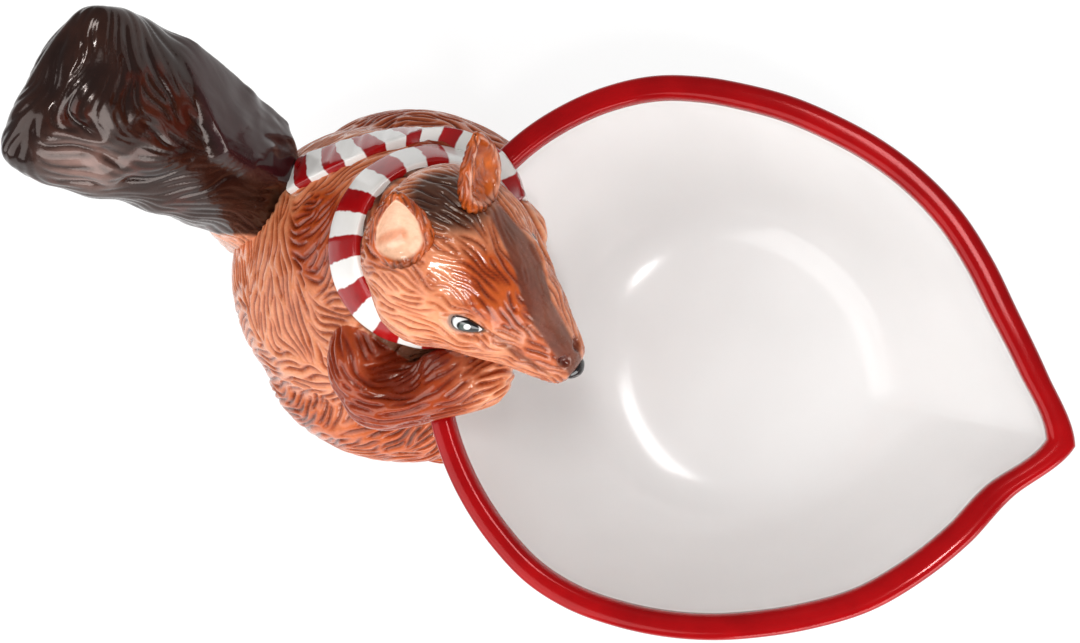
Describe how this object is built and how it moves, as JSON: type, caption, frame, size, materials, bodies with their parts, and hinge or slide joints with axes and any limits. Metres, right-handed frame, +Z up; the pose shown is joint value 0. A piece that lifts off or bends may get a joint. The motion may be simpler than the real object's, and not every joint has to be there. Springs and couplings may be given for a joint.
{
  "type": "figural candy dish",
  "caption": "Glazed porcelain nut-shaped dish with a pointed lip, and a seated squirrel in a striped scarf that leans its forepaws on the rim, its tail raised behind.",
  "frame": {"origin": "on the table, below the middle of the object's length and width", "axes": "+X from the squirrel's tail towards the dish's pointed lip, +Y to the squirrel's left, +Z up"},
  "size_m": [0.293, 0.1628, 0.1503],
  "materials": {
    "white_glaze": "glossy, with a dark red band on the rim",
    "fur_glaze": "glossy, carved fur stained darker in its grooves",
    "tail_glaze": "glossy dark brown over carved hair",
    "scarf_glaze": "glossy, crossed by white bands"
  },
  "bodies": {
    "root": {"bowl": "white_glaze", "body": "fur_glaze", "left_haunch": "fur_glaze", "right_haunch": "fur_glaze", "left_foot": "fur_glaze", "right_foot": "fur_glaze", "left_arm": "fur_glaze", "right_arm": "fur_glaze", "head": "fur_glaze", "left_ear": "fur_glaze", "right_ear": "fur_glaze", "tail": "tail_glaze", "scarf_ring": "scarf_glaze", "scarf_end": "scarf_glaze"}
  },
  "joints": []
}
